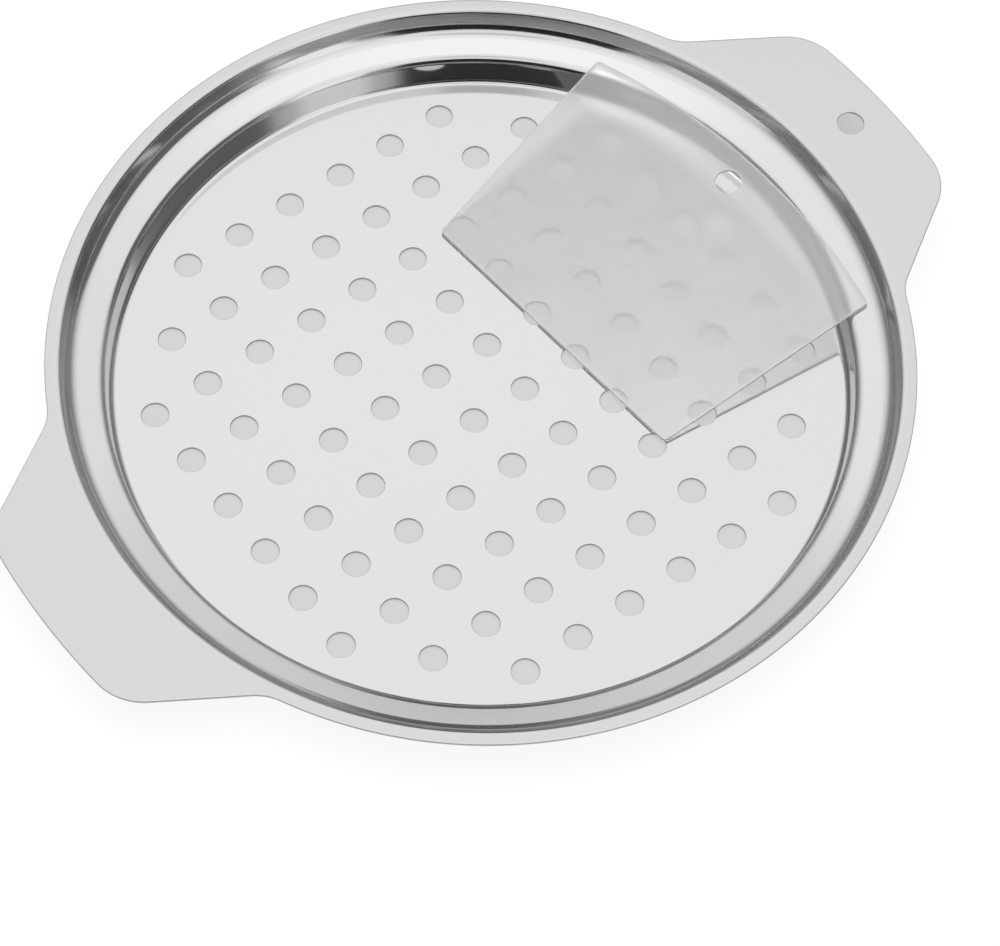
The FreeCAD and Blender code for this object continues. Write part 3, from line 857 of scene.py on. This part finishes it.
@dataclass
class Scraper:
    """The loose scraper: a flat sheet with a straight blade, flared sides and a crowned back."""

    plastic: bpy.types.Material
    cut: bpy.types.Material
    gauge: float = 1.0 * MM
    blade_width: float = 96.0 * MM
    back_width: float = 114.7 * MM
    side_rise: float = 72.6 * MM
    back_crown: float = 8.2 * MM
    corner_radius: float = 1.5 * MM
    hole_diameter: float = 7.8 * MM
    hole_inset: float = 9.3 * MM
    edge_rounding: float = 0.20 * MM
    back_steps: int = 24
    corner_steps: int = 6
    hole_steps: int = 48

    @property
    def hole_place(self) -> float:
        """How far the hanging hole lies from the blade."""
        return self.side_rise + self.back_crown - self.hole_inset

    def outline(self) -> list[Station]:
        """The edge, counter-clockwise, with the blade on the Y axis and the back towards +X.

        Returns:
            The stations, each once.
        """
        half_blade, half_back = self.blade_width / 2, self.back_width / 2
        back_radius = (half_back ** 2 + self.back_crown ** 2) / (2 * self.back_crown)
        back_centre = Vector((self.side_rise + self.back_crown - back_radius, 0.0))
        flare = math.atan2(half_back - half_blade, self.side_rise)
        radius = self.corner_radius
        side = Vector((math.cos(flare), math.sin(flare)))
        square = turned(side, QUARTER)

        blade_centre = Vector((radius, 0.0))
        blade_centre.y = half_blade + (radius * side.y - radius) / side.x
        corner_start = Vector((0.0, half_blade)) - square * radius
        back_corner = last_point_at(corner_start, side, back_centre, back_radius - radius)
        back_turn = angle_of(back_corner - back_centre)
        side_turn = angle_of(square)
        half = arc(back_centre, back_radius, 0.0, back_turn, self.back_steps)
        half += arc(back_corner, radius, back_turn, side_turn, self.corner_steps)[1:]
        half += arc(blade_centre, radius, side_turn, math.pi, self.corner_steps)
        other = [mirrored(station, 1, -1) for station in reversed(half[1:])]
        return half + other

    def lie(self, record: dict) -> Matrix:
        """Where the scraper lies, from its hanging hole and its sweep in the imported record.

        Args:
            record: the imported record.

        Returns:
            The matrix from the sheet's own frame, underside at height 0, to the row frame.
        """
        hole = next(mount for mount in record["mounts"] if mount["name"] == "scraper_hang_hole")
        joints = record["behaviour"]["joints"]
        sweep = next(joint for joint in joints if joint["name"] == "scraper_sweep")
        normal = Vector(hole["axis"]).normalized()
        ahead = -Vector(sweep["axis"])
        along = (ahead - normal * ahead.dot(normal)).normalized()
        left = normal.cross(along)
        corner = Vector(hole["pos_m"]) - along * self.hole_place - normal * self.gauge / 2
        return Matrix.Translation(corner) @ Matrix((along, left, normal)).transposed().to_4x4()

    def build(self, record: dict) -> bpy.types.Object:
        """Makes the scraper and puts it in its node's place.

        Args:
            record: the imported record, which says where it lies.

        Returns:
            The finished piece.
        """
        shell = Shell()
        edge = SheetEdge(self.gauge, self.edge_rounding)
        hole = arc(
            Vector((self.hole_place, 0.0)), self.hole_diameter / 2, 0.0, 2 * math.pi,
            self.hole_steps, hollow=True,
        )[:-1]
        loops = []
        for outline in (self.outline(), hole):
            rings = [
                shell.ring([(*station.moved(inwards), height) for station in outline])
                for inwards, height in edge.levels()
            ]
            shell.skin(rings, slot=1)
            loops.append(rings)
        shell.fill(loops[0][0], loops[1][0])
        shell.fill(loops[0][-1], loops[1][-1])
        scraper = shell.finish("dough_scraper", [self.plastic, self.cut])
        scraper.data.transform(self.lie(record))
        smooth_bends(scraper.data)
        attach(scraper, "scraper")
        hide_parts("scraper")
        return scraper


# ---------------------------------------------------------------- the studio


def sine(degrees: float) -> float:
    """The sine of an angle in degrees."""
    return math.sin(math.radians(degrees))


@dataclass(frozen=True)
class Panel:
    """A four-sided piece of the room round the object, of its own brightness; angles in degrees."""

    azimuth: float
    half_width: float
    lowest: float
    highest: float
    level: float
    blur: float = 3.0

    @property
    def direction(self) -> Vector:
        """The level unit vector from the object to the panel's middle."""
        return towards(math.radians(self.azimuth), 0.0)

    @property
    def sides(self) -> tuple[float, float]:
        """The cosines, seen from above, at which the panel begins and at which it is full."""
        return (math.cos(math.radians(min(self.half_width + self.blur, 180.0))),
                math.cos(math.radians(max(self.half_width - self.blur, 0.0))))

    @property
    def foot(self) -> tuple[float, float]:
        """The sines of the elevations at which its lower edge begins and is full."""
        return sine(self.lowest - self.blur), sine(self.lowest + self.blur)

    @property
    def top(self) -> tuple[float, float]:
        """The sines of the elevations at which its upper edge ends and is still full."""
        return sine(self.highest + self.blur), sine(self.highest - self.blur)


@dataclass(frozen=True)
class Oval:
    """A patch of the table with painted shade, where the plate keeps it from the light: its middle
    and half lengths.
    """

    middle: tuple[float, float]
    reach: tuple[float, float]


def towards(azimuth: float, elevation: float) -> Vector:
    """The unit vector with an azimuth and an elevation in radians."""
    level = math.cos(elevation)
    return Vector((math.cos(azimuth) * level, math.sin(azimuth) * level, math.sin(elevation)))


@dataclass(frozen=True)
class Studio:
    """A white table under a white ceiling, with panels round it and a dark camera side."""

    table_half: float = 4.0
    table_drop: float = 0.2 * MM
    # Painted shade: inside the covered ovals the table takes this darker tone and keeps only part
    # of its white glow; the last oval lies under the hanging hole.
    painted_shade_tone: str = "#959595"
    table_tone: str = "#FBFBFB"
    covered_white: float = 0.46
    covered: tuple[Oval, ...] = (
        Oval((0.0, 0.0), (0.108, 0.108)),
        Oval((0.0, 0.0), (0.135, 0.034)),
        Oval((0.1405, 0.011), (0.0115, 0.0105)),
    )
    covered_edge: float = 1.06
    far_outside: float = 9.0
    near_white: float = 0.88
    white_start: float = 0.20
    white_end: float = 0.36
    # Painted light: how much the table glows, at the least, where it is seen through the plastic.
    painted_glow_through_plastic: float = 0.38
    ceiling: tuple[tuple[float, float], ...] = (
        (0, 1.08), (14, 1.12), (20, 1.09), (26, 1.05), (34, 1.00), (41, 0.95), (46, 0.86),
        (54, 0.76), (62, 0.60), (70, 0.44), (80, 0.30), (95, 0.20),
        (110, 0.80), (180, 0.95),
    )
    panels: tuple[Panel, ...] = (
        Panel(50, 28, 68, 77, 1.28, 4.0),
        Panel(234, 24, 66, 80, 0.66, 5.0),
        Panel(54, 18, 42, 52, 0.85, 1.2),
        Panel(58, 21, 52, 68, 1.07, 3.0),
        Panel(53, 6, 57, 61, 1.12, 4.0),
        Panel(51, 6, 8, 44, 0.12, 3.0),
        Panel(61, 5, 8, 34, 0.24, 3.0),
        Panel(71, 6, 6, 15, 0.24, 3.0),
        Panel(62, 18, -10, 3, 0.78, 3.0),
        Panel(180, 13, -10, 42, 0.84, 4.0),
        Panel(229, 27, -10, 41, 0.02, 3.0),
        Panel(273, 9, -10, 46, 1.10, 3.0),
        Panel(319, 28, -10, 44, 0.15, 4.0),
    )
    fill_power: float = 15.0
    fill_size: float = 1.6
    fill_height: float = 1.5

    def table(self) -> bpy.types.Object:
        """Lays the white table, a little greyer with painted shade where the plate covers it, with
        a painted glow where it is seen through the plastic, and open from below.

        Returns:
            The table, which belongs to the stage.
        """
        material, graph = new_material("white_table")
        place = graph.add("ShaderNodeTexCoord")
        measure: float | bpy.types.NodeSocket = self.far_outside
        # Painted shade: the table turns to the shade tone inside any of these ovals, with a soft
        # edge.
        for oval in self.covered:
            shifted = graph.add("ShaderNodeVectorMath", {"operation": "SUBTRACT"}, {
                0: place.outputs["Object"], 1: (*oval.middle, 0.0),
            })
            scaled = graph.add("ShaderNodeVectorMath", {"operation": "MULTIPLY"}, {
                0: shifted.outputs[0], 1: (1.0 / oval.reach[0], 1.0 / oval.reach[1], 0.0),
            })
            reach = graph.add("ShaderNodeVectorMath", {"operation": "LENGTH"}, {
                0: scaled.outputs[0],
            })
            measure = graph.add("ShaderNodeMath", {"operation": "MINIMUM"}, {
                0: measure, 1: reach.outputs["Value"],
            }).outputs[0]
        open_share = graph.add("ShaderNodeMapRange", {"interpolation_type": "SMOOTHSTEP"}, {
            "Value": measure, "From Min": 1.0, "From Max": self.covered_edge,
        })
        tone = graph.add("ShaderNodeMix", {"data_type": "RGBA"}, {
            "Factor": open_share.outputs["Result"],
            "A": linear(self.painted_shade_tone), "B": linear(self.table_tone),
        })
        distance = graph.add("ShaderNodeVectorMath", {"operation": "LENGTH"}, {
            0: place.outputs["Object"],
        })
        far_share = graph.add("ShaderNodeMapRange", {"interpolation_type": "SMOOTHSTEP"}, {
            "Value": distance.outputs["Value"], "To Min": self.near_white,
            "From Min": self.white_start, "From Max": self.white_end,
        })
        share = graph.add("ShaderNodeMix", {"data_type": "FLOAT"}, {
            "Factor": open_share.outputs["Result"],
            "A": self.covered_white, "B": far_share.outputs["Result"],
        })
        ray = graph.add("ShaderNodeLightPath")
        seen = graph.add("ShaderNodeMath", {"operation": "MAXIMUM"}, {
            0: ray.outputs["Is Camera Ray"], 1: ray.outputs["Is Glossy Ray"],
        })
        white = graph.add("ShaderNodeMath", {"operation": "MULTIPLY"}, {
            0: share.outputs["Result"], 1: seen.outputs[0],
        })
        # Painted light: seen through the plastic, the table glows at least this much.
        painted_glow_behind_plastic = graph.add("ShaderNodeMath", {"operation": "MULTIPLY"}, {
            0: ray.outputs["Is Transmission Ray"], 1: self.painted_glow_through_plastic,
        })
        white = graph.add("ShaderNodeMath", {"operation": "MAXIMUM"}, {
            0: white.outputs[0], 1: painted_glow_behind_plastic.outputs[0],
        })
        cloth = graph.add("ShaderNodeBsdfDiffuse", None, {"Color": tone.outputs["Result"]})
        glow = graph.add("ShaderNodeEmission", None, {"Strength": 1.0})
        mix = graph.add("ShaderNodeMixShader", None, {
            0: white.outputs[0], 1: cloth.outputs[0], 2: glow.outputs[0],
        })
        side = graph.add("ShaderNodeNewGeometry")
        open_below = graph.add("ShaderNodeMixShader", None, {
            0: side.outputs["Backfacing"], 1: mix.outputs[0],
            2: graph.add("ShaderNodeBsdfTransparent").outputs[0],
        })
        graph.add("ShaderNodeOutputMaterial", None, {"Surface": open_below.outputs[0]})
        half, level = self.table_half, -self.table_drop
        data = bpy.data.meshes.new("white_table")
        signs = ((-1, -1), (1, -1), (1, 1), (-1, 1))
        corners = [(across * half, along * half, level) for across, along in signs]
        data.from_pydata(corners, [], [(0, 1, 2, 3)])
        data.materials.append(material)
        table = bpy.data.objects.new("white_table", data)
        bpy.context.scene.collection.objects.link(table)
        return table

    def room(self) -> None:
        """Lights the room: a white ceiling over grey walls, with the panels laid over both."""
        world = bpy.data.worlds.new("studio_room")
        world.use_nodes = True
        bpy.context.scene.world = world
        graph = Graph(world.node_tree)
        ray = graph.add("ShaderNodeTexCoord").outputs["Generated"]
        height = graph.add("ShaderNodeSeparateXYZ", None, {0: ray}).outputs["Z"]
        flat = graph.add("ShaderNodeVectorMath", {"operation": "MULTIPLY"}, {
            0: ray, 1: (1.0, 1.0, 0.0),
        })
        level_ray = graph.add("ShaderNodeVectorMath", {"operation": "NORMALIZE"}, {
            0: flat.outputs[0],
        })
        angle = graph.add("ShaderNodeMath", {"operation": "ARCCOSINE"}, {0: height})
        turn = graph.add("ShaderNodeMath", {"operation": "DIVIDE"}, {
            0: angle.outputs[0], 1: math.pi,
        })
        fall = graph.add("ShaderNodeValToRGB", None, {"Fac": turn.outputs[0]})
        stops = fall.color_ramp.elements
        while len(stops) < len(self.ceiling):
            stops.new(1.0)
        for stop, (degrees, level) in zip(stops, self.ceiling):
            stop.position = degrees / 180
            stop.color = (level, level, level, 1.0)

        layers: list[tuple[bpy.types.NodeSocket, float]] = []
        for panel in self.panels:
            toward = graph.add("ShaderNodeVectorMath", {"operation": "DOT_PRODUCT"}, {
                0: level_ray.outputs[0], 1: panel.direction,
            }).outputs["Value"]
            share: float | bpy.types.NodeSocket = 1.0
            for value, (start, full) in (
                (height, panel.foot), (height, panel.top), (toward, panel.sides),
            ):
                part = graph.add("ShaderNodeMapRange", {"interpolation_type": "SMOOTHSTEP"}, {
                    "Value": value, "From Min": start, "From Max": full,
                })
                share = graph.add("ShaderNodeMath", {"operation": "MULTIPLY"}, {
                    0: share, 1: part.outputs["Result"],
                }).outputs[0]
            layers.append((share, panel.level))
        # What a camera sees of the room itself is plain white.
        path = graph.add("ShaderNodeLightPath")
        layers.append((path.outputs["Is Camera Ray"], 1.0))
        bright = fall.outputs["Color"]
        for share, level in layers:
            bright = graph.add("ShaderNodeMix", {"data_type": "FLOAT"}, {
                "Factor": share, "A": bright, "B": level,
            }).outputs["Result"]
        back = graph.add("ShaderNodeBackground", None, {
            "Color": linear("#FFFFFF"), "Strength": bright,
        })
        graph.add("ShaderNodeOutputWorld", None, {"Surface": back.outputs[0]})

    def fill(self) -> None:
        """Hangs a soft lamp that the steel doesn't mirror, for the table and the plastic."""
        lamp = bpy.data.lights.new("fill", "AREA")
        lamp.shape = "DISK"
        lamp.size = self.fill_size
        lamp.energy = self.fill_power
        holder = bpy.data.objects.new("fill", lamp)
        holder.location = (0.0, 0.0, self.fill_height)
        holder.visible_glossy = False
        bpy.context.scene.collection.objects.link(holder)

    def build(self) -> None:
        """Sets up the table, the room and the fill."""
        self.table()
        self.room()
        self.fill()


@dataclass(frozen=True)
class Viewpoint:
    """The camera: a long lens from the front left, looking steeply down."""

    location: tuple[float, float, float] = (-0.36611, -0.44944, 0.95745)
    azimuth: float = math.radians(230.120)
    elevation: float = math.radians(60.110)
    roll: float = math.radians(3.568)
    lens: float = 139.25
    sensor_width: float = 36.0

    def build(self) -> None:
        """Places the camera and makes it the scene's own."""
        back = towards(self.azimuth, self.elevation)
        right = UP.cross(back).normalized()
        right.rotate(Matrix.Rotation(self.roll, 3, back))
        above = back.cross(right)
        data = bpy.data.cameras.new("viewpoint")
        data.lens = self.lens
        data.sensor_width = self.sensor_width
        data.clip_start = 0.01
        camera = bpy.data.objects.new("viewpoint", data)
        turn = Matrix((right, above, back)).transposed().to_4x4()
        camera.matrix_world = Matrix.Translation(self.location) @ turn
        bpy.context.scene.collection.objects.link(camera)
        bpy.context.scene.camera = camera


def main() -> None:
    """Builds both pieces round the frame, then the studio and the camera."""
    logging.basicConfig(level=logging.INFO, format="%(name)s: %(message)s")
    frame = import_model()
    bpy.context.scene.view_settings.view_transform = "Standard"

    plate = SievePlate(RolledSteel().make(), ShearedSteel().make()).build()
    cut = FrostedPolypropylene(name="cut_polypropylene", roughness=0.45, transmission=0.60)
    scraper = Scraper(FrostedPolypropylene().make(), cut.make()).build(frame["record"])
    for piece in (plate, scraper):
        mesh = piece.data
        log.info("%s: %d corners, %d faces", piece.name, len(mesh.vertices), len(mesh.polygons))
    Studio().build()
    Viewpoint().build()


if __name__ == "__main__":
    main()
